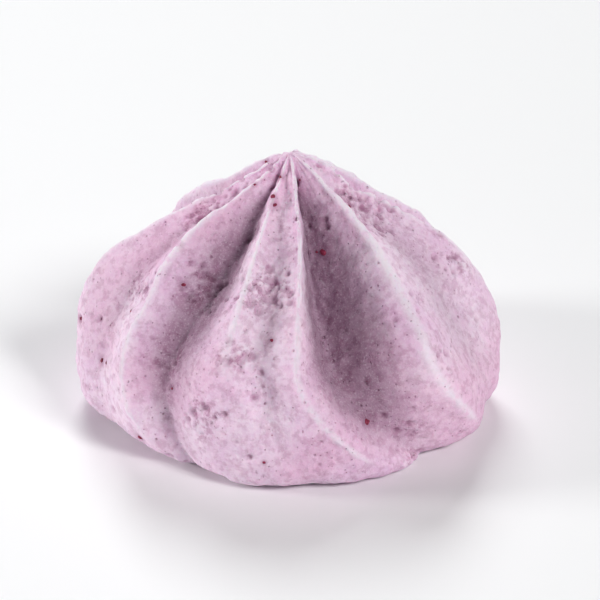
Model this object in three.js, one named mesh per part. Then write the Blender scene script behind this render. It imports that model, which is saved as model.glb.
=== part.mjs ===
// A piped meringue kiss: a single dried piece of whipped egg white and sugar, squeezed through an
// open star nozzle onto a flat sheet and lifted away to a point.
//
// Millimetres, +Z up. The origin is the middle of the flat underside and the piece stands on z = 0.
//
// The skin is a turned shape whose rings are drawn in and out between two outlines: one that runs
// up the crest of a pleat and one that runs up the bottom of the scoop between two pleats.

import * as THREE from 'three';
import { mergeVertices } from 'three/addons/utils/BufferGeometryUtils.js';

// ---- driving dimensions -------------------------------------------------------------------------

const HALF_WIDTH = 18;          // from the axis to a middling crest, at its widest
const HEIGHT = 23.8;            // from the sheet to the point
const TIP_LEAN = [ - 0.5, 0.4 ];  // how far the point has drifted off the axis, along X and Y
const TIP_HOOK = 0.2;           // extra drift of the last pulled bit, along X
const UNEVENNESS = 1.2;         // weight of the soft lumps that the whipped mass sets with

// Both outlines run from the edge of the flat underside to the point.
// [ share of HALF_WIDTH, share of HEIGHT ]
const CREST_OUTLINE = [
	[ 0.895, 0.000 ], [ 0.960, 0.040 ], [ 0.993, 0.130 ], [ 1.000, 0.255 ], [ 0.958, 0.390 ],
	[ 0.860, 0.525 ], [ 0.715, 0.648 ], [ 0.535, 0.758 ], [ 0.345, 0.848 ], [ 0.175, 0.922 ],
	[ 0.070, 0.968 ], [ 0.030, 0.991 ], [ 0.000, 1.000 ]
];
const SCOOP_OUTLINE = [
	[ 0.775, 0.000 ], [ 0.805, 0.035 ], [ 0.795, 0.110 ], [ 0.735, 0.210 ], [ 0.620, 0.325 ],
	[ 0.475, 0.445 ], [ 0.325, 0.567 ], [ 0.205, 0.686 ], [ 0.122, 0.797 ], [ 0.070, 0.888 ],
	[ 0.040, 0.954 ], [ 0.022, 0.988 ], [ 0.000, 1.000 ]
];

// One row for each pleat, going round from the back left, and for the scoop that follows it.
//   at     where the crest starts at the sheet, in degrees about Z (-90 is the front)
//   half   how many degrees it has swung round half way up
//   whole  how many degrees it has swung round near the point
//   reach  how far it stands out, against HALF_WIDTH
//   crisp  how far down its sharp edge runs: 0 only near the point, 1 nearly to the sheet
//   full   extra roundness half way up
//   dip    depth of the scoop, against SCOOP_OUTLINE
//   foot   how much of that depth is left at the sheet
//   low    where between this crest and the next the scoop is deepest, low down
//   high   the same, high up
const PLEATS = [
	// at, half, whole, reach, crisp, full, dip, foot, low, high
	[ - 176, - 5, - 4, 1.03, 0.5, 0.07, 0.22, 0.90, 0.45, 0.45 ],
	[ - 130, - 15, - 23, 0.94, 1.0, 0.10, 0.60, 0.55, 0.27, 0.55 ],
	[ - 100, - 9, - 7, 1.00, 0.4, 0.04, 0.19, 0.90, 0.40, 0.40 ],
	[ - 59, - 30, - 22, 1.01, 1.0, 0.01, 0.88, 0.60, 0.40, 0.30 ],
	[ - 22, - 27, - 14, 1.02, 1.0, 0.02, 0.27, 0.90, 0.50, 0.50 ],
	[ - 3, 9, 8, 1.00, 0.7, 0.02, 1.05, 0.80, 0.55, 0.55 ],
	[ 38, - 5, - 4, 0.98, 0.6, - 0.01, 0.85, 1.00, 0.50, 0.50 ],
	[ 82, - 9, - 7, 1.02, 0.8, 0.03, 1.20, 0.70, 0.56, 0.56 ],
	[ 128, 7, 6, 0.98, 0.6, 0.01, 0.95, 0.80, 0.48, 0.48 ]
].map( ( [ at, half, whole, reach, crisp, full, dip, foot, low, high ] ) => (
	{ at, half, whole, reach, crisp, full, dip, foot, low, high }
) );

const FACETS_PER_PLEAT = 12;    // columns of facets from one crest to the next
const SIDE_RINGS = 44;          // rings of facets from the sheet to the tip
const TIP_START = 11 / 12;      // the last ring, as a share of the way up the outlines
const BASE_RINGS = [ 0.35, 0.7 ];  // rings inside the flat underside, as shares of its reach

// ---- shape --------------------------------------------------------------------------------------

const { lerp, smoothstep, degToRad } = THREE.MathUtils;

const outline = ( shares ) => new THREE.SplineCurve(
	shares.map( ( [ x, y ] ) => new THREE.Vector2( x * HALF_WIDTH, y * HEIGHT ) )
);
const crestOutline = outline( CREST_OUTLINE );
const scoopOutline = outline( SCOOP_OUTLINE );

// How many degrees a pleat has swung round on its way up.
function swing( { half, whole }, t ) {

	return lerp( half * smoothstep( t, 0, 0.4 ), whole, smoothstep( t, 0.35, 0.8 ) );

}

// Where a place between two crests lies: x is 0 on a crest and 1 at the bottom of the scoop.
function between( u, t ) {

	const k = Math.floor( u ) % PLEATS.length;
	const f = u - Math.floor( u );
	const here = PLEATS[ k ];
	const next = PLEATS[ ( k + 1 ) % PLEATS.length ];
	const gap = ( next.at - here.at + 360 ) % 360;
	const seat = lerp( here.low, here.high, smoothstep( t, 0.35, 0.65 ) );
	const own = f < seat;
	return {
		here, next, f, gap,
		x: own ? f / seat : ( 1 - f ) / ( 1 - seat ),
		crisp: own ? here.crisp : next.crisp
	};

}

// 1 on the crest, 0 at the bottom of a scoop of full depth. Low down a pleat is a fat round roll;
// higher up it is a narrow edge between two wide hollows.
function fullness( { here, x, crisp }, t ) {

	const edge = Math.max( smoothstep( t, 0, 0.6 ), 0.85 * crisp * smoothstep( t, 0, 0.2 ) );
	const blunt = lerp( 0.16, 0.05, smoothstep( t, 0, 0.8 ) );
	const away = ( Math.hypot( x, blunt ) - blunt ) / ( Math.hypot( 1, blunt ) - blunt );
	const roll = Math.max( 0, 1 - away ** lerp( 2.3, 1, edge ) ) ** lerp( 1.3, 1.6, edge );
	const growth = lerp( here.foot, 1, smoothstep( t, 0.06, 0.4 ) ) * lerp( 1, 1.5, smoothstep( t, 0.5, 1 ) );
	return 1 - ( 1 - roll ) * Math.min( 1, here.dip * growth );

}

// Soft lumps, a few millimetres to a couple of centimetres across.
function lump( x, y, z ) {

	return 0.30 * Math.sin( 0.31 * x + 1.1 ) * Math.cos( 0.27 * y - 0.6 )
		+ 0.22 * Math.sin( 0.36 * y + 0.42 * z + 2.0 )
		+ 0.18 * Math.cos( 0.40 * x - 0.33 * z + 0.3 )
		+ 0.06 * Math.sin( 0.83 * x + 0.71 * y + 0.6 * z )
		+ 0.05 * Math.cos( 0.95 * y - 0.77 * x + 0.9 * z + 1.7 );

}

// The skin. u counts pleats round the piece; t runs from the edge of the underside to the point.
function skin( u, t ) {

	const place = between( u, t );
	const { here, next, f, gap } = place;
	const ease = smoothstep( f, 0, 1 );
	const angle = degToRad( here.at + f * gap + lerp( swing( here, t ), swing( next, t ), f ) );

	const crest = crestOutline.getPoint( t );
	const scoop = scoopOutline.getPoint( t );
	const point = scoop.lerp( crest, fullness( place, t ) );
	const reach = 1 + ( lerp( here.reach, next.reach, ease ) - 1 ) * ( 1 - t );
	const full = lerp( here.full, next.full, ease ) * Math.sin( Math.PI * t );
	const r = point.x * ( reach + full );
	const z = point.y;

	const x = r * Math.cos( angle );
	const y = r * Math.sin( angle );
	const soft = lump( x, y, z ) * smoothstep( t, 0, 0.12 ) * ( 1 - smoothstep( t, 0.8, 0.97 ) );
	const lean = ( z / HEIGHT ) ** 2;
	const hook = smoothstep( z / HEIGHT, 0.86, 1 );
	return new THREE.Vector3(
		x + soft * UNEVENNESS * Math.cos( angle ) + TIP_LEAN[ 0 ] * lean + TIP_HOOK * hook,
		y + soft * UNEVENNESS * Math.sin( angle ) + TIP_LEAN[ 1 ] * lean,
		z + 0.4 * soft
	);

}

// ---- the solid ----------------------------------------------------------------------------------

// A plain turned body gives the facets, then each of its corners is moved to its place on the skin.
function meringueGeometry() {

	const columns = PLEATS.length * FACETS_PER_PLEAT;
	const profile = [ new THREE.Vector2( 0, 0 ) ];
	for ( const share of BASE_RINGS ) profile.push( new THREE.Vector2( share * HALF_WIDTH, 0 ) );
	for ( let ring = 0; ring <= SIDE_RINGS; ring ++ ) {

		profile.push( crestOutline.getPoint( TIP_START * ring / SIDE_RINGS ) );

	}
	profile.push( new THREE.Vector2( 0, HEIGHT ) );

	const geometry = new THREE.LatheGeometry( profile, columns );
	const firstSide = 1 + BASE_RINGS.length;
	const apex = profile.length - 1;
	for ( let column = 0; column <= columns; column ++ ) {

		const u = ( column % columns ) / FACETS_PER_PLEAT;
		for ( let j = 0; j <= apex; j ++ ) {

			let corner;
			if ( j === 0 ) corner = new THREE.Vector3();
			else if ( j < firstSide ) corner = skin( u, 0 ).multiplyScalar( BASE_RINGS[ j - 1 ] );
			else if ( j < apex ) corner = skin( u, TIP_START * ( j - firstSide ) / SIDE_RINGS );
			else corner = skin( 0, 1 );
			geometry.attributes.position.setXYZ( column * profile.length + j, ...corner );

		}

	}
	geometry.deleteAttribute( 'normal' );
	geometry.deleteAttribute( 'uv' );
	return mergeVertices( geometry, 1e-3 );

}

const paleRaspberry = new THREE.MeshStandardMaterial( { color: 0xe6c3da, roughness: 0.85, metalness: 0 } );

const meringue = new THREE.Mesh( meringueGeometry(), paleRaspberry );
meringue.name = 'meringue';

const kiss = new THREE.Group();
kiss.add( meringue );

export default kiss;
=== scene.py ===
import itertools
import math

import bmesh
import bpy
import numpy as np
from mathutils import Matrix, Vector, kdtree


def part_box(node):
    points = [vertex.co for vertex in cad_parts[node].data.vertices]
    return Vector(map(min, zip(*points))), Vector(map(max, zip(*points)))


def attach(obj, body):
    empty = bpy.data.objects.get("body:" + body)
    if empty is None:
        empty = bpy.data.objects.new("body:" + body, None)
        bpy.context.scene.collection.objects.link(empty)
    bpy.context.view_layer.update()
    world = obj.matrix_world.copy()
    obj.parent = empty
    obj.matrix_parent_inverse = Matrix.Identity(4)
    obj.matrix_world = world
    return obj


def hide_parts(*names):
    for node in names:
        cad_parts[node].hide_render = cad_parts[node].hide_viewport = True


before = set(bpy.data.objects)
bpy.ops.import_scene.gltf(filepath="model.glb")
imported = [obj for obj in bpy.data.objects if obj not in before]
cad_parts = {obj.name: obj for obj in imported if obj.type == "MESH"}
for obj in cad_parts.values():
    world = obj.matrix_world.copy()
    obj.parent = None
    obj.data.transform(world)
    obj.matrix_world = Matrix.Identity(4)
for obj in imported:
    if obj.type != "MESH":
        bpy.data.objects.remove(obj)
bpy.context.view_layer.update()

# ---- The meringue --------------------------------------------------------------------------------
# One piece of whipped egg white and sugar, tinted with raspberry powder, piped through an open star
# nozzle onto a flat sheet, lifted away to a point and dried until the whole of it is stiff.

MM = 0.001
HALF_WIDTH = 18.0  # sizes are in millimetres up to the mesh: here from the axis to a middling crest
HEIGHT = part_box("meringue")[1].z / MM
TIP_LEAN = (-0.5, 0.4)  # how far the point has drifted off the axis
TIP_HOOK = 0.2  # extra drift of the last pulled bit
UNEVENNESS = 1.2

# Shares of the half width and of the height, up the crest of a pleat and up the scoop beside it.
CREST_OUTLINE = [
    (0.895, 0.000), (0.960, 0.040), (0.993, 0.130), (1.000, 0.255), (0.958, 0.390),
    (0.860, 0.525), (0.715, 0.648), (0.535, 0.758), (0.345, 0.848), (0.175, 0.922),
    (0.070, 0.968), (0.030, 0.991), (0.000, 1.000),
]
SCOOP_OUTLINE = [
    (0.775, 0.000), (0.805, 0.035), (0.795, 0.110), (0.735, 0.210), (0.620, 0.325),
    (0.475, 0.445), (0.325, 0.567), (0.205, 0.686), (0.122, 0.797), (0.070, 0.888),
    (0.040, 0.954), (0.022, 0.988), (0.000, 1.000),
]

# A row for each pleat, going round from the back left: where its crest starts at the sheet, how far
# round it has swung half way up and near the point, in degrees, how far it stands out, how far down
# its edge stays crisp, its extra roundness, then the depth of the scoop after it, how much of that
# is left at the sheet, and where between the two crests it is deepest, low down and high up.
PLEATS = np.array([
    (-176, -5, -4, 1.03, 0.5, 0.07, 0.22, 0.90, 0.45, 0.45),
    (-130, -15, -23, 0.94, 1.0, 0.10, 0.60, 0.55, 0.27, 0.55),
    (-100, -9, -7, 1.00, 0.4, 0.04, 0.19, 0.90, 0.40, 0.40),
    (-59, -30, -22, 1.01, 1.0, 0.01, 0.88, 0.60, 0.40, 0.30),
    (-22, -27, -14, 1.02, 1.0, 0.02, 0.27, 0.90, 0.50, 0.50),
    (-3, 9, 8, 1.00, 0.7, 0.02, 1.05, 0.80, 0.55, 0.55),
    (38, -5, -4, 0.98, 0.6, -0.01, 0.85, 1.00, 0.50, 0.50),
    (82, -9, -7, 1.02, 0.8, 0.03, 1.20, 0.70, 0.56, 0.56),
    (128, 7, 6, 0.98, 0.6, 0.01, 0.95, 0.80, 0.48, 0.48),
])


def smoothstep(x, low, high):
    share = np.clip((x - low) / (high - low), 0, 1)
    return share * share * (3 - 2 * share)


def lerp(a, b, share):
    return a + (b - a) * share


def along(outline, t):
    """The place a share t of the way up an outline, on a smooth curve through its points."""
    points = np.array(outline) * (HALF_WIDTH, HEIGHT)
    last = len(points) - 1
    step = np.clip(t, 0, 1) * last
    i = np.minimum(np.floor(step).astype(int), last - 1)
    w = (step - i)[..., None]
    before, here, after, beyond = (points[np.clip(i + n, 0, last)] for n in (-1, 0, 1, 2))
    slope = (after - before) / 2
    next_slope = (beyond - here) / 2
    return (
        (2 * here - 2 * after + slope + next_slope) * w**3
        + (3 * after - 3 * here - 2 * slope - next_slope) * w**2
        + slope * w + here
    )


def lump(x, y, z):
    """Soft lumps that the whipped mass sets with."""
    return (
        0.30 * np.sin(0.31 * x + 1.1) * np.cos(0.27 * y - 0.6)
        + 0.22 * np.sin(0.36 * y + 0.42 * z + 2.0)
        + 0.18 * np.cos(0.40 * x - 0.33 * z + 0.3)
        + 0.06 * np.sin(0.83 * x + 0.71 * y + 0.6 * z)
        + 0.05 * np.cos(0.95 * y - 0.77 * x + 0.9 * z + 1.7)
    )


def skin(u, t):
    """The skin in millimetres, how deep each place is sunk between the crests, about 1 where a scoop
    is deep, and how close it is to the sharp edge of a crest, from 0 to 1.
    u counts pleats round the piece; t runs from the edge of the underside to the point."""
    k = np.floor(u).astype(int) % len(PLEATS)
    f = u - np.floor(u)
    at, half, whole, reach, crisp, full, dip, foot, low, high = np.moveaxis(PLEATS[k], -1, 0)
    at2, half2, whole2, reach2, crisp2, full2 = np.moveaxis(PLEATS[(k + 1) % len(PLEATS), :6], -1, 0)

    # From 0 on the crest to 1 at the bottom of the scoop. Low down a pleat is a fat round roll;
    # higher up it is a narrow edge between two wide hollows.
    seat = lerp(low, high, smoothstep(t, 0.35, 0.65))
    own = f < seat
    x = np.where(own, f / seat, (1 - f) / (1 - seat))
    crisp = np.where(own, crisp, crisp2)
    edge = np.maximum(smoothstep(t, 0, 0.6), 0.85 * crisp * smoothstep(t, 0, 0.2))
    blunt = lerp(0.16, 0.05, smoothstep(t, 0, 0.8))
    away = (np.hypot(x, blunt) - blunt) / (np.hypot(1, blunt) - blunt)
    roll = np.clip(1 - away ** lerp(2.3, 1, edge), 0, 1) ** lerp(1.3, 1.6, edge)
    dip = dip * lerp(foot, 1, smoothstep(t, 0.06, 0.4))
    dip = np.minimum(1, dip * lerp(1, 1.5, smoothstep(t, 0.5, 1)))

    swing = lerp(
        lerp(half, half2, f) * smoothstep(t, 0, 0.4), lerp(whole, whole2, f), smoothstep(t, 0.35, 0.8)
    )
    angle = np.radians(at + f * ((at2 - at + 360) % 360) + swing)
    crest = along(CREST_OUTLINE, t)
    point = lerp(crest, along(SCOOP_OUTLINE, t), ((1 - roll) * dip)[..., None])
    sunk = (crest[..., 0] - point[..., 0]) / (3.0 + 0.10 * crest[..., 0])
    ease = smoothstep(f, 0, 1)
    out = 1 + (lerp(reach, reach2, ease) - 1) * (1 - t) + lerp(full, full2, ease) * np.sin(math.pi * t)
    r = point[..., 0] * out
    z = point[..., 1]

    soft = lump(r * np.cos(angle), r * np.sin(angle), z)
    soft = soft * smoothstep(t, 0, 0.12) * (1 - smoothstep(t, 0.8, 0.97))
    r = r + UNEVENNESS * soft
    lean = (z / HEIGHT) ** 2
    hook = smoothstep(z / HEIGHT, 0.86, 1)
    place = np.stack([
        r * np.cos(angle) + TIP_LEAN[0] * lean + TIP_HOOK * hook,
        r * np.sin(angle) + TIP_LEAN[1] * lean,
        z + 0.4 * soft,
    ], -1)
    ridge = (1 - smoothstep(x, 0.0, 0.13)) * smoothstep(edge, 0.55, 1.0)
    return place, sunk, ridge


# The mesh: columns run up the pleats and rings are the same distance apart all the way up.
COLUMNS_PER_PLEAT = 44
SIDE_RINGS = 188
BASE_RINGS = 60
columns = COLUMNS_PER_PLEAT * len(PLEATS)
fine = np.linspace(0, 1, 2001)
climb = np.cumsum(np.r_[0, np.linalg.norm(np.diff(along(CREST_OUTLINE, fine), axis=0), axis=1)])
ring_t = np.interp(np.linspace(0, climb[-1], SIDE_RINGS + 1)[:-1], climb, fine)
T, U = np.meshgrid(ring_t, np.arange(columns) / COLUMNS_PER_PLEAT, indexing="ij")
side, side_sunk, side_ridge = skin(U, T)
inward = np.linspace(0, 1, BASE_RINGS + 1)[1:-1]
base = side[0][None] * inward[:, None, None] * (1, 1, 0)
rings = np.concatenate([base, side])
tip = skin(np.array([0.0]), np.array([1.0]))[0][0]


def on_side(values):
    """Values for the rings of the side, with nought on all the rings of the underside."""
    return np.concatenate([np.zeros(base.shape[:2]), values])


def facing(grid):
    """The way that each place on the rings faces."""
    round_about = np.roll(grid, -1, 1) - np.roll(grid, 1, 1)
    upward = np.gradient(grid, axis=0)
    cross = np.cross(round_about, upward)
    return cross / np.maximum(np.linalg.norm(cross, axis=-1, keepdims=True), 1e-9)


def cloud(places, size, seed):
    """Smooth random lumps about one size across, from -1 to 1."""
    knots = np.random.default_rng(seed).uniform(-1, 1, (32, 32, 32))
    p = places / size
    cell = np.floor(p).astype(int)
    f = p - cell
    f = f * f * f * (f * (f * 6 - 15) + 10)
    total = 0
    for corner in itertools.product((0, 1), repeat=3):
        share = np.prod(np.where(corner, f, 1 - f), axis=-1)
        i, j, k = np.moveaxis((cell + corner) % 32, -1, 0)
        total = total + share * knots[i, j, k]
    return total


def finder(places):
    """A quick way to find the places that lie close to one."""
    tree = kdtree.KDTree(len(places))
    for index, place in enumerate(places):
        tree.insert(place, index)
    tree.balance()
    return tree


# Relief, in millimetres along the way the skin faces. The whole skin is a little uneven and curdled;
# fine drag lines run up the pleats, and each crest has a ragged lip where it left the nozzle's teeth.
# The foot, which sat on the sheet, and the drawn-out point are smooth.
DRAG_LINES_PER_PLEAT = 11
DRAG_LINE_BREAKS = 2.5  # on the way up
bare = on_side(smoothstep(T, 0, 0.05) * (1 - smoothstep(T, 0.8, 0.95)))
sunk = on_side(side_sunk)
ridge = on_side(side_ridge)
drag = np.stack([U * DRAG_LINES_PER_PLEAT, T * DRAG_LINE_BREAKS, np.zeros_like(T)], -1)
dragged = on_side(cloud(drag, 1, 31) + 0.6 * cloud(drag * (2.3, 1.6, 1), 1, 32))
uneven = 0.09 * cloud(rings, 4.3, 11) + 0.06 * cloud(rings, 2.1, 12)
curdled = 0.085 * cloud(rings, 1.0, 13) + 0.065 * cloud(rings, 0.6, 16)
ragged = 0.17 + 0.16 * cloud(rings, 2.6, 14) + 0.10 * cloud(rings, 1.0, 15)
relief = bare * (uneven + 0.025 * dragged + (0.9 + 0.6 * sunk) * curdled + ridge * ragged)

# Patches where the foam tore and stayed rough, each a pleat number, a share of the way up and a
# radius in millimetres.
TORN = [
    (2.20, 0.53, 2.6), (2.02, 0.42, 1.8), (1.30, 0.50, 2.6), (1.35, 0.36, 2.2), (1.75, 0.27, 2.4),
    (0.30, 0.62, 3.0), (0.62, 0.45, 2.4), (3.30, 0.08, 2.0), (3.60, 0.18, 1.8), (4.10, 0.36, 1.4),
    (4.60, 0.62, 2.8), (4.85, 0.45, 2.2), (5.20, 0.55, 2.6), (6.30, 0.60, 2.0), (7.10, 0.40, 2.4),
    (7.90, 0.22, 3.0), (8.40, 0.50, 1.8),
]
torn = np.zeros(rings.shape[:2])
for pleat, share, radius in TORN:
    middle = skin(np.array([pleat]), np.array([share]))[0][0]
    far = np.linalg.norm(rings - middle, axis=-1) + 1.5 * cloud(rings, 2.0, 21)
    torn = np.maximum(torn, 1 - smoothstep(far, 0.1 * radius, 1.15 * radius))
torn *= bare
relief += torn * (0.16 * np.abs(cloud(rings, 0.9, 22)) + 0.08 * cloud(rings, 0.55, 23))

# Burst bubbles: round pits with a crisp edge, more than half of them in the torn patches.
BUBBLES = 1300
SMALLEST_BUBBLE = 0.17
LARGEST_BUBBLE = 0.59
BOWL_DEPTH = 0.70  # this and the one below against the radius of the bubble
RIM_CUT = 0.07  # taken off the bowl's shallow rim, which leaves the edge crisp
draw = np.random.default_rng(5)
flat = rings.reshape(-1, 3)
likely = (bare * (0.12 + 3.0 * torn + 0.08 * sunk)).ravel()
spots = draw.choice(len(flat), BUBBLES, replace=False, p=likely / likely.sum())
radii = lerp(SMALLEST_BUBBLE, LARGEST_BUBBLE, draw.random(BUBBLES) ** 4)
around = finder(flat)
pits = np.zeros(len(flat))
for spot, radius in zip(spots, radii):
    for _, index, far in around.find_range(flat[spot], radius):
        off = far / radius
        bowl = BOWL_DEPTH * (1 - smoothstep(off, 0.2, 1.0))
        cut = RIM_CUT * smoothstep(off, 0.7, 1.05)
        pits[index] = min(pits[index], radius * (cut - bowl))
pits = pits.reshape(relief.shape)
relief += pits

# The underside dried against the sheet: flat, and open with worm-like pores where bubbles broke,
# with one longer slit near the middle.
PORE_DEPTH = 0.30
SLIT_DEPTH = 0.9
SLIT_AT = (2.2, 3.4)
SLIT_HALF_SIZE = (1.1, 0.32)
SLIT_SLANT = 0.3
under = np.concatenate([
    np.broadcast_to((1 - smoothstep(inward, 0.9, 1.0))[:, None], base.shape[:2]),
    np.zeros(side.shape[:2]),
])
worm = np.abs(cloud(rings * (1, 1.35, 1), 1.25, 41) + 0.4 * cloud(rings, 0.8, 42))
hole = smoothstep(cloud(rings, 1.1, 43), 0.3, 0.6)
from_slit = rings[..., :2] - SLIT_AT
from_slit[..., 1] -= SLIT_SLANT * rings[..., 0]
slit = 1 - smoothstep(np.linalg.norm(from_slit / SLIT_HALF_SIZE, axis=-1), 0.5, 1.0)
pore = under * np.maximum(1 - smoothstep(worm, 0.02, 0.16), hole)
relief -= PORE_DEPTH * pore + SLIT_DEPTH * under * slit

rings = rings + relief[..., None] * facing(rings)
rings[..., 2] = np.maximum(rings[..., 2], 0)

verts = np.concatenate([[(0, 0, 0)], rings.reshape(-1, 3), [tip]]) * MM
column = np.arange(columns)
after = (column + 1) % columns
lower = 1 + columns * np.arange(len(rings) - 1)[:, None]
upper = lower + columns
quads = np.stack([lower + column, lower + after, upper + after, upper + column], -1).reshape(-1, 4)
middle_fan = np.stack([np.zeros_like(column), 1 + after, 1 + column], -1)
top = 1 + (len(rings) - 1) * columns
tip_fan = np.stack([top + column, top + after, np.full_like(column, len(verts) - 1)], -1)
meringue_mesh = bpy.data.meshes.new("meringue_crust")
meringue_mesh.from_pydata(verts.tolist(), [], middle_fan.tolist() + quads.tolist() + tip_fan.tolist())
meringue_mesh.shade_smooth()
meringue = bpy.data.objects.new("meringue_crust", meringue_mesh)
bpy.context.scene.collection.objects.link(meringue)


def mark(name, values):
    """Keeps a value for each corner of the meringue, for its material to read."""
    attribute = meringue_mesh.attributes.new(name, "FLOAT", "POINT")
    padded = np.r_[values.ravel()[0], values.ravel(), values.ravel()[-1]]
    attribute.data.foreach_set("value", padded.astype(np.float32))


DARK_PIT_DEPTH = 0.25  # from which a pit has its full shade
mark("sunk", sunk)
mark("ridge", ridge)
mark("torn", torn)
mark("pit", np.clip(-pits / DARK_PIT_DEPTH, 0, 1))
mark("pore", pore)


class Wire:
    """One output of a material's nodes. Arithmetic on wires lays the Math nodes that do it."""

    def __init__(self, tree, output=None):
        self.tree = tree
        self.output = output

    def node(self, kind, settings, sockets, out=0):
        """Adds a node: its settings first, then a value or a wire for each of its sockets."""
        made = self.tree.nodes.new("ShaderNode" + kind)
        for name, value in settings.items():
            setattr(made, name, value)
        for name, value in sockets.items():
            if isinstance(value, Wire):
                self.tree.links.new(value.output, made.inputs[name])
            else:
                made.inputs[name].default_value = value
        return Wire(self.tree, made.outputs[out])

    def math(self, operation, first, second):
        return self.node("Math", {"operation": operation}, {0: first, 1: second})

    def __add__(self, other):
        return self.math("ADD", self, other)

    def __radd__(self, other):
        return self.math("ADD", other, self)

    def __sub__(self, other):
        return self.math("SUBTRACT", self, other)

    def __rsub__(self, other):
        return self.math("SUBTRACT", other, self)

    def __mul__(self, other):
        return self.math("MULTIPLY", self, other)

    def __rmul__(self, other):
        return self.math("MULTIPLY", other, self)


def new_material(name):
    """A new material, the wire that its first nodes are laid from, and its surface shader."""
    material = bpy.data.materials.new(name)
    material.use_nodes = True
    return material, Wire(material.node_tree), material.node_tree.nodes["Principled BSDF"]


def connect(wire, shader, socket):
    wire.tree.links.new(wire.output, shader.inputs[socket])


def ramp(value, low, high):
    """0 below low, 1 above high, smooth between."""
    return value.node(
        "MapRange", {"interpolation_type": "SMOOTHSTEP"},
        {"Value": value, "From Min": low, "From Max": high},
    )


def tint(share, under_colour, over_colour, blend="MIX"):
    settings = {"data_type": "RGBA", "blend_type": blend}
    return share.node("Mix", settings, {0: share, 6: under_colour, 7: over_colour}, 2)


def darken(share, colour, tone):
    return tint(share, colour, tone, "MULTIPLY")


crust, paint, crust_shader = new_material("meringue crust")
places = paint.node("TexCoord", {}, {}, "Object")
places = paint.node("VectorMath", {"operation": "SCALE"}, {"Vector": places, "Scale": 1 / MM})


def marked(name):
    return paint.node("Attribute", {"attribute_name": name}, {}, "Fac")


def noise(size, detail=2.0, rough=0.5):
    return paint.node(
        "TexNoise", {}, {"Vector": places, "Scale": 1 / size, "Detail": detail, "Roughness": rough}, "Fac"
    )


def specks(cell, radius, chance, soft=0.6):
    """Round specks scattered through the mass: 1 at the middle of each, 0 at its rim. There is one
    try in each cell, the chance says how many of them come to anything, and sizes differ."""
    near = {"Vector": places, "Scale": 1 / cell, "Randomness": 1.0}
    far = paint.node("TexVoronoi", {}, near, "Distance")
    dice = paint.node("TexVoronoi", {}, near, "Color")
    lot = paint.node("SeparateColor", {}, {"Color": dice}, "Red")
    size = paint.node("SeparateColor", {}, {"Color": dice}, "Green")
    reach = (size * 0.6 + 0.4) * (radius / cell)
    return ramp(chance - lot, 0.0, 0.01) * ramp(reach - far, 0.0, soft * radius / cell)


hollow = marked("sunk")
painted_crest_highlight = marked("ridge")
rough_patch = marked("torn")
pitted = marked("pit")
pored = marked("pore")
stained = marked("stain")

# Pinholes and small burst bubbles, a little thicker in the scoops and with painted shade inside them, and
# raspberry dust with the blush that it leaves, then the clotted, the downy and the sugary grain of the
# crust.
DUSTY = 0.10  # the share of the mass's cells that hold a grain of raspberry
gather = ramp(noise(3.2, 1.0), 0.42, 0.68)
pin = specks(0.36, 0.11, 0.30 + 0.34 * gather + 0.30 * rough_patch + 0.20 * hollow)
bubble = specks(0.80, 0.20, 0.14 + 0.26 * gather + 0.40 * rough_patch + 0.10 * hollow)
dust = specks(0.9, 0.085, DUSTY)
bloom = specks(0.9, 0.34, DUSTY, 1.0)
mottle = noise(6.0, 3.0, 0.6)
curd = noise(0.85, 3.0, 0.65)
fuzz = noise(0.42, 4.0, 0.65)
grain = noise(0.16, 2.0, 0.6)

PALE = (0.95, 0.775, 0.91, 1)
MID = (0.86, 0.605, 0.80, 1)
PINK = (0.90, 0.51, 0.70, 1)
# The colour of the painted shade in the deep scoops.
SHADED = (0.34, 0.205, 0.29, 1)
CHALK = (0.96, 0.88, 0.97, 1)
CRIMSON = (0.26, 0.014, 0.06, 1)
FAINT_TONE = (0.92, 0.81, 0.90, 1)
DEEP_TONE = (0.56, 0.36, 0.46, 1)

# Pale, middling and pinker stretches, with painted shade that darkens a place the deeper it lies in a
# scoop.
# The clots, with a little more painted shade in the scoops, the stains, and the painted shade inside the
# pits, pores and pinholes are multiplied over that, so that they show in the dark scoops too; the whites
# of the torn foam, kept faint in the scoops, the painted highlight along the crests' lips, the sugar
# grain and the red dust are laid on top.
colour = tint(ramp(mottle, 0.3, 0.72), PALE, MID)
colour = tint(0.36 * ramp(noise(11.0, 1.0), 0.42, 0.68), colour, PINK)
# Painted shade: the deeper a place lies in a scoop, the darker its colour.
colour = tint(0.87 * ramp(hollow, 0.08, 0.85), colour, SHADED)
colour = darken(0.6 * ramp(fuzz, 0.38, 0.66), colour, FAINT_TONE)
clot = ramp(curd, 0.45, 0.64)
# The clots of the crust, darkened a little more in the scoops as painted shade.
colour = darken((0.34 + 0.36 * rough_patch + 0.06 * hollow) * clot, colour, DEEP_TONE)
fluff = rough_patch * (1 - ramp(curd, 0.34, 0.50))
colour = tint(0.35 * fluff * (1 - 0.8 * hollow), colour, CHALK)
# A painted highlight along the lips of the crests.
colour = tint(0.90 * painted_crest_highlight * ramp(curd, 0.28, 0.55), colour, CHALK)
colour = tint(0.28 * ramp(grain, 0.5, 0.75), colour, CHALK)
colour = darken(0.40 * bloom + 0.55 * stained, colour, DEEP_TONE)
# Painted shade inside the pits and the underside's pores, darker the deeper a pit goes.
colour = darken(0.50 * pitted + 0.55 * pored, colour, DEEP_TONE)
# Painted shade inside the pinholes and the burst bubbles.
colour = darken(0.60 * pin, colour, DEEP_TONE)
colour = darken(0.60 * bubble, colour, DEEP_TONE)
colour = tint(0.85 * dust, colour, CRIMSON)
connect(colour, crust_shader, "Base Color")
connect(0.80 + 0.12 * grain, crust_shader, "Roughness")

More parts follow.
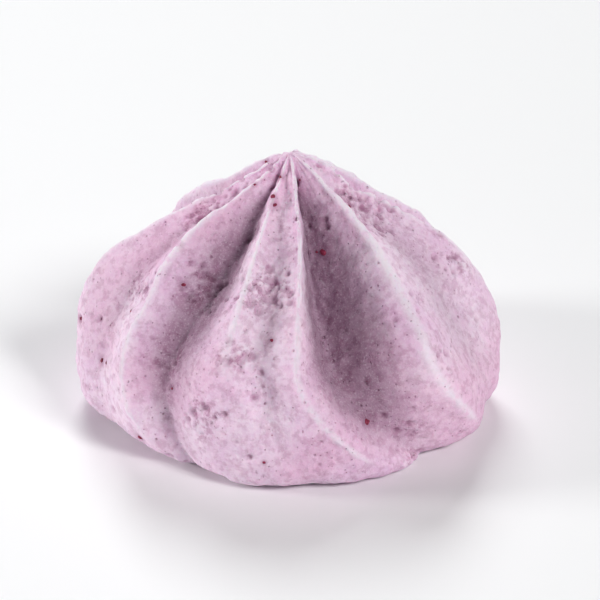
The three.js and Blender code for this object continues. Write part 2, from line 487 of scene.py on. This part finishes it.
# The height of the finest relief, in millimetres, which only the bump shows.
height = 0.03 * grain + 0.085 * fuzz + 0.09 * curd - 0.08 * pin - 0.14 * bubble + 0.02 * dust
bump = paint.node("Bump", {}, {"Height": height, "Distance": MM, "Strength": 1.0}, "Normal")
connect(bump, crust_shader, "Normal")
crust_shader.inputs["Subsurface Weight"].default_value = 0.25
crust_shader.inputs["Subsurface Radius"].default_value = (1.0, 0.5, 0.65)
crust_shader.inputs["Subsurface Scale"].default_value = 0.8 * MM
crust_shader.inputs["Specular IOR Level"].default_value = 0.28
meringue_mesh.materials.append(crust)

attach(meringue, "root")
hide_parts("meringue")

# ---- Raspberry flecks ----------------------------------------------------------------------------
# Crumbs of freeze-dried raspberry, folded into the mass with the powder. They lie half sunk in the
# skin, and each has stained the meringue round it.

FLECKS = 34
SMALLEST_FLECK = 0.11
LARGEST_FLECK = 0.33
THICKNESS = 0.55  # this and the two below against the radius of the crumb
SINK = 0.12
STAIN_REACH = 3.6
draw = np.random.default_rng(12)
flat = rings.reshape(-1, 3)
normals = facing(rings).reshape(-1, 3)
spots = draw.choice(len(flat), FLECKS, replace=False, p=bare.ravel() / bare.sum())
radii = lerp(SMALLEST_FLECK, LARGEST_FLECK, draw.random(FLECKS) ** 2.2)
ball = bmesh.new()
bmesh.ops.create_icosphere(ball, subdivisions=3, radius=1)
ball_verts = np.array([v.co for v in ball.verts])
ball_faces = np.array([[v.index for v in f.verts] for f in ball.faces])
ball.free()
around = finder(flat)
stain = np.zeros(len(flat))
fleck_verts = []
fleck_faces = []
for number, (spot, radius) in enumerate(zip(spots, radii)):
    up = Vector(normals[spot])
    turned = np.array(up.to_track_quat("Z", "Y").to_matrix())
    shape = ball_verts * (1 + 0.35 * cloud(ball_verts + 7.0 * number, 0.8, 51))[:, None]
    shape = shape * radius * (1, draw.uniform(0.6, 1.0), THICKNESS)
    fleck_faces.append(ball_faces + len(ball_verts) * number)
    fleck_verts.append(shape @ turned.T + flat[spot] - SINK * radius * np.array(up))
    for _, index, far in around.find_range(flat[spot], STAIN_REACH * radius):
        stain[index] = max(stain[index], 1 - smoothstep(far / radius, 0.9, STAIN_REACH))
mark("stain", stain)
flecks_mesh = bpy.data.meshes.new("raspberry_flecks")
flecks_mesh.from_pydata(
    (np.concatenate(fleck_verts) * MM).tolist(), [], np.concatenate(fleck_faces).tolist()
)
flecks_mesh.shade_smooth()
flecks = bpy.data.objects.new("raspberry_flecks", flecks_mesh)
bpy.context.scene.collection.objects.link(flecks)

berry, paint, berry_shader = new_material("dried raspberry")
DARK_BERRY = (0.16, 0.006, 0.03, 1)
BRIGHT_BERRY = (0.36, 0.03, 0.09, 1)
BERRY_GRAIN = {"Scale": 9000.0, "Detail": 2.0}
berry_places = paint.node("TexCoord", {}, {}, "Object")
berry_noise = paint.node("TexNoise", {}, {"Vector": berry_places, **BERRY_GRAIN}, "Fac")
berry_colour = tint(ramp(berry_noise, 0.35, 0.7), DARK_BERRY, BRIGHT_BERRY)
connect(berry_colour, berry_shader, "Base Color")
connect(0.5 + 0.3 * berry_noise, berry_shader, "Roughness")
flecks_mesh.materials.append(berry)
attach(flecks, "root")

# ---- The table -----------------------------------------------------------------------------------
# A pale, faintly satin sheet that the piece stands on. Far out it sweeps up all round as a backdrop.

FLAT_TO = 1.5  # metres, as all of the table's sizes are
SWEEP_TO = 4.0
SWEEP_HEIGHT = 0.7
TABLE_DROP = 0.05 * MM  # keeps it clear of the underside
SPOKES = 96
out = np.r_[np.geomspace(0.02, FLAT_TO, 12), np.linspace(FLAT_TO, SWEEP_TO, 25)[1:]]
rise = SWEEP_HEIGHT * np.clip((out - FLAT_TO) / (SWEEP_TO - FLAT_TO), 0, 1) ** 2 - TABLE_DROP
turn = np.linspace(0, 2 * math.pi, SPOKES + 1)[:-1]
table_verts = [(r * math.cos(a), r * math.sin(a), z) for r, z in zip(out, rise) for a in turn]
table_faces = []
for inner in range(0, (len(out) - 1) * SPOKES, SPOKES):
    outer = inner + SPOKES
    for j in range(SPOKES):
        beside = (j + 1) % SPOKES
        table_faces.append((inner + j, outer + j, outer + beside, inner + beside))
table_verts.append((0, 0, -TABLE_DROP))
table_faces += [(len(table_verts) - 1, j, (j + 1) % SPOKES) for j in range(SPOKES)]
table_mesh = bpy.data.meshes.new("table")
table_mesh.from_pydata(table_verts, [], table_faces)
table_mesh.shade_smooth()
table = bpy.data.objects.new("table", table_mesh)
bpy.context.scene.collection.objects.link(table)

PALE_GREY = (0.90, 0.905, 0.915, 1)
OFF_WHITE = (0.94, 0.945, 0.95, 1)
laminate, paint, table_shader = new_material("pale laminate")
table_places = paint.node("TexCoord", {}, {}, "Object")
cloudy = paint.node("TexNoise", {}, {"Vector": table_places, "Scale": 14.0, "Detail": 3.0}, "Fac")
connect(tint(cloudy, PALE_GREY, OFF_WHITE), table_shader, "Base Color")
connect(0.42 + 0.1 * cloudy, table_shader, "Roughness")
table_mesh.materials.append(laminate)

# ---- Light and camera ----------------------------------------------------------------------------
# Soft light that comes in low from the left, a higher one from the front right, a third from behind
# and a faint pale room all round. The camera looks down on the front of the piece.


def lamp(name, compass, height, spread, power, colour):
    """A far light: the way and the height it comes from and how wide it looks, in degrees."""
    light = bpy.data.lights.new(name, "SUN")
    light.angle = math.radians(spread)
    light.energy = power
    light.color = colour
    holder = bpy.data.objects.new(name, light)
    a = math.radians(compass)
    e = math.radians(height)
    towards = Vector((math.cos(a) * math.cos(e), math.sin(a) * math.cos(e), math.sin(e)))
    holder.rotation_euler = towards.to_track_quat("Z", "Y").to_euler()
    bpy.context.scene.collection.objects.link(holder)


lamp("left_window", 180, 16, 18, 1.90, (1.0, 0.99, 0.98))
lamp("right_window", -45, 40, 18, 1.88, (1.0, 0.99, 0.98))
lamp("back_window", 98, 40, 24, 1.45, (0.98, 0.99, 1.0))
room = bpy.data.worlds.new("pale room")
room.use_nodes = True
walls = room.node_tree.nodes["Background"]
walls.inputs["Color"].default_value = (0.94, 0.96, 1.0, 1)
walls.inputs["Strength"].default_value = 0.06
bpy.context.scene.world = room
bpy.context.scene.view_settings.view_transform = "Standard"

VIEW_HEIGHT = math.radians(28)
VIEW_DISTANCE = 0.375
AIM = Vector((0.0006, 0, 0.0095))
camera = bpy.data.objects.new("camera", bpy.data.cameras.new("camera"))
camera.data.lens = 255
camera.location = AIM + VIEW_DISTANCE * Vector((0, -math.cos(VIEW_HEIGHT), math.sin(VIEW_HEIGHT)))
camera.rotation_euler = (AIM - camera.location).to_track_quat("-Z", "Y").to_euler()
bpy.context.scene.collection.objects.link(camera)
bpy.context.scene.camera = camera
